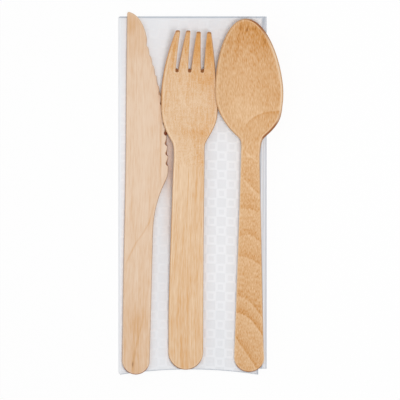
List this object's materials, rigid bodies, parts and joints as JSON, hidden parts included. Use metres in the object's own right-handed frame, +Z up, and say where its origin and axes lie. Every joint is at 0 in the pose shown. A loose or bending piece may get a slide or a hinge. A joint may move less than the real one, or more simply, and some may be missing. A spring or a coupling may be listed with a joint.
{
  "type": "wooden cutlery bundle",
  "caption": "Disposable birch-veneer knife, fork and spoon laid side by side on a folded white embossed paper napkin.",
  "frame": {"origin": "under the middle of the set, on the surface that the napkin lies on", "axes": "+Y from the handle ends to the tips, +X from the knife to the spoon, +Z up"},
  "size_m": [0.0754, 0.1654, 0.0134],
  "materials": {
    "tissue": "matt embossed tissue",
    "birch_pale": "bare tumbled veneer, pale sapwood",
    "birch_straight": "bare tumbled veneer, straight grain",
    "birch_curly": "bare tumbled veneer, curly grain"
  },
  "bodies": {
    "root": {"napkin": "tissue", "knife": "birch_pale", "fork": "birch_straight", "spoon": "birch_curly"}
  },
  "joints": []
}
